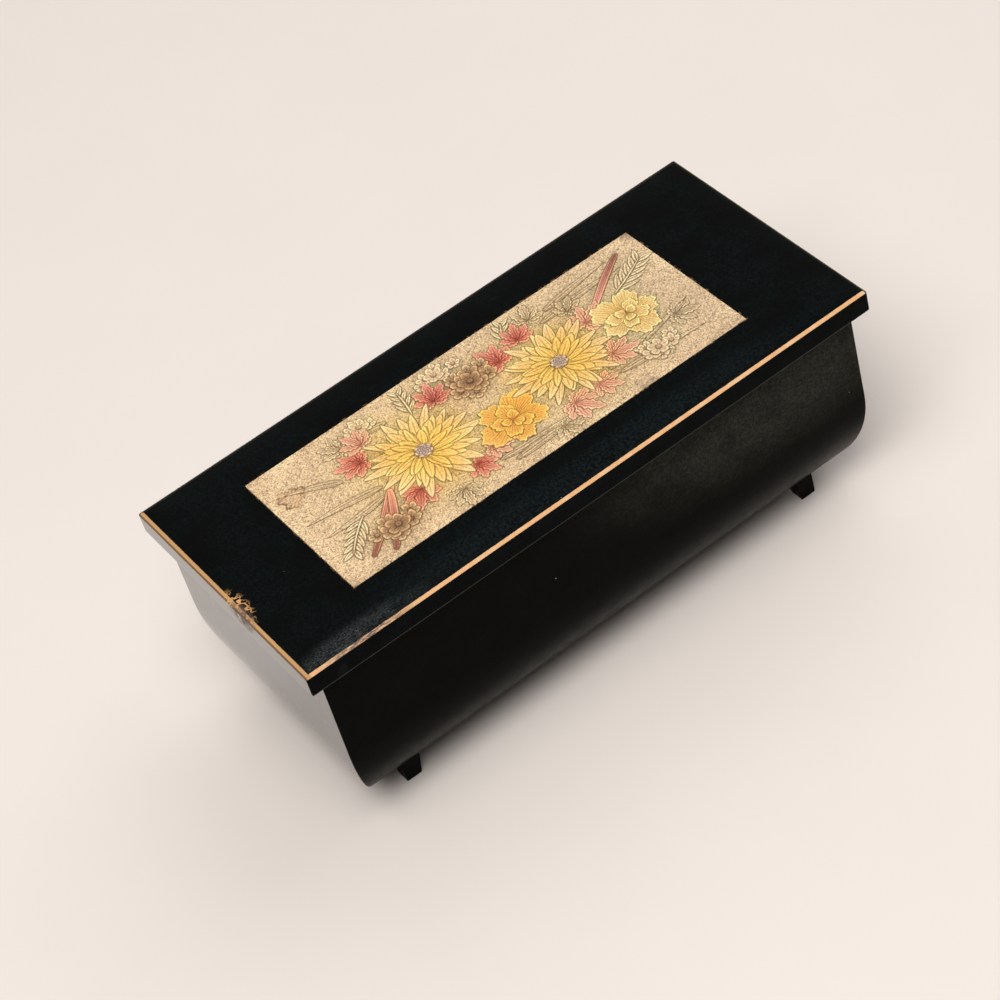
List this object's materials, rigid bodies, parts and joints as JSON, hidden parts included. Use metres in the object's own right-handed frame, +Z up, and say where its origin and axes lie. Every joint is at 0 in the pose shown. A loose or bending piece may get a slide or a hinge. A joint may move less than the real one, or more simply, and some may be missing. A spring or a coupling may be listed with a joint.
{
  "type": "musical jewelry box",
  "caption": "Oblong black lacquered jewelry box on small feet, with a hinged lid, an inlaid foil picture panel and a wind-up musical movement.",
  "frame": {"origin": "on the table, under the middle of the closed box", "axes": "+X along the long side, to the right seen from the front; -Y to the front; +Z up"},
  "size_m": [0.23, 0.1042, 0.0892],
  "materials": {
    "black_lacquer": "high-gloss black lacquer",
    "satin_lacquer": "satin black lacquer",
    "embossed_foil": "pale gold embossed foil with tinted flowers",
    "mirror": "silvered glass",
    "velvet": "deep red velvet over card",
    "clear_plastic": "clear sheet",
    "brass": "polished brass",
    "steel": "bright steel",
    "cast_zinc": "fine cast grey metal"
  },
  "bodies": {
    "case": {"case_shell": "satin_lacquer", "foot_front_left": "black_lacquer", "foot_front_right": "black_lacquer", "foot_back_left": "black_lacquer", "foot_back_right": "black_lacquer", "hinge_case_leaf_left": "brass", "hinge_case_leaf_right": "brass", "hinge_pin_left": "brass", "hinge_pin_right": "brass", "case_hinge_screw_left_1": "brass", "case_hinge_screw_left_2": "brass", "case_hinge_screw_right_1": "brass", "case_hinge_screw_right_2": "brass", "well_lining": "velvet", "partition": "satin_lacquer", "ring_riser": "velvet", "ring_roll_1": "velvet", "ring_roll_2": "velvet", "ring_roll_3": "velvet", "movement_cover": "clear_plastic", "cover_ledge_front": "satin_lacquer", "cover_ledge_back": "satin_lacquer", "bedplate": "cast_zinc", "spring_housing": "steel", "mainspring": "steel", "drive_bearing_plate": "steel", "governor_bearing_plate": "steel", "comb": "steel", "comb_screw_1": "steel", "comb_screw_2": "steel", "governor_bracket": "steel", "stop_lever_pin": "steel", "movement_screw_1": "steel", "movement_screw_2": "steel", "movement_screw_3": "steel"},
    "lid": {"lid_board": "black_lacquer", "picture_panel": "embossed_foil", "mirror": "mirror", "lid_lining": "velvet", "hinge_lid_leaf_left": "brass", "hinge_lid_leaf_right": "brass", "lid_hinge_screw_left_1": "brass", "lid_hinge_screw_left_2": "brass", "lid_hinge_screw_right_1": "brass", "lid_hinge_screw_right_2": "brass"},
    "winding": {"winding_key": "brass", "winding_arbor": "steel", "great_wheel": "brass"},
    "cylinder": {"pinned_cylinder": "brass", "cylinder_arbor": "steel", "drive_pinion": "brass", "end_gear": "brass"},
    "governor": {"governor_wheel": "brass", "governor_arbor": "steel"},
    "fan": {"worm_shaft": "steel", "air_fan": "brass"},
    "rod": {"stop_rod": "steel"},
    "lever": {"stop_lever": "steel"}
  },
  "joints": [
    {"name": "lid_hinge", "type": "hinge", "parent": "case", "child": "lid", "pos_m": [0, 0.05095, 0.07995], "axis": [-1, 0, 0], "range_deg": [0, 100]},
    {"name": "stop_rod_slide", "type": "slide", "parent": "case", "child": "rod", "axis": [0, 0, 1], "range_m": [0, 0.0041]},
    {"name": "stop_lever_turn", "type": "hinge", "parent": "case", "child": "lever", "pos_m": [0.09147, -0.02765, 0.02861], "axis": [-1, 0, 0], "range_deg": [0, 25]},
    {"name": "cylinder_turn", "type": "hinge", "parent": "case", "child": "cylinder", "pos_m": [0.08, 0, 0.02585], "axis": [0, 1, 0], "continuous": true},
    {"name": "winding_turn", "type": "hinge", "parent": "case", "child": "winding", "pos_m": [0.08, 0.0143, 0.0219], "axis": [0, 0, 1], "continuous": true},
    {"name": "governor_turn", "type": "hinge", "parent": "case", "child": "governor", "pos_m": [0.08716, -0.0189, 0.02585], "axis": [0, 1, 0], "continuous": true},
    {"name": "fan_turn", "type": "hinge", "parent": "case", "child": "fan", "pos_m": [0.09147, -0.02045, 0.02585], "axis": [0, 0, 1], "continuous": true}
  ],
  "couplings": [
    {"joint": "stop_rod_slide", "follows": "lid_hinge", "m_per_rad": 0.0022918},
    {"joint": "stop_lever_turn", "follows": "lid_hinge", "ratio": 0.24},
    {"joint": "winding_turn", "follows": "cylinder_turn", "ratio": -0.25},
    {"joint": "governor_turn", "follows": "cylinder_turn", "ratio": -4},
    {"joint": "fan_turn", "follows": "cylinder_turn", "ratio": -64}
  ]
}
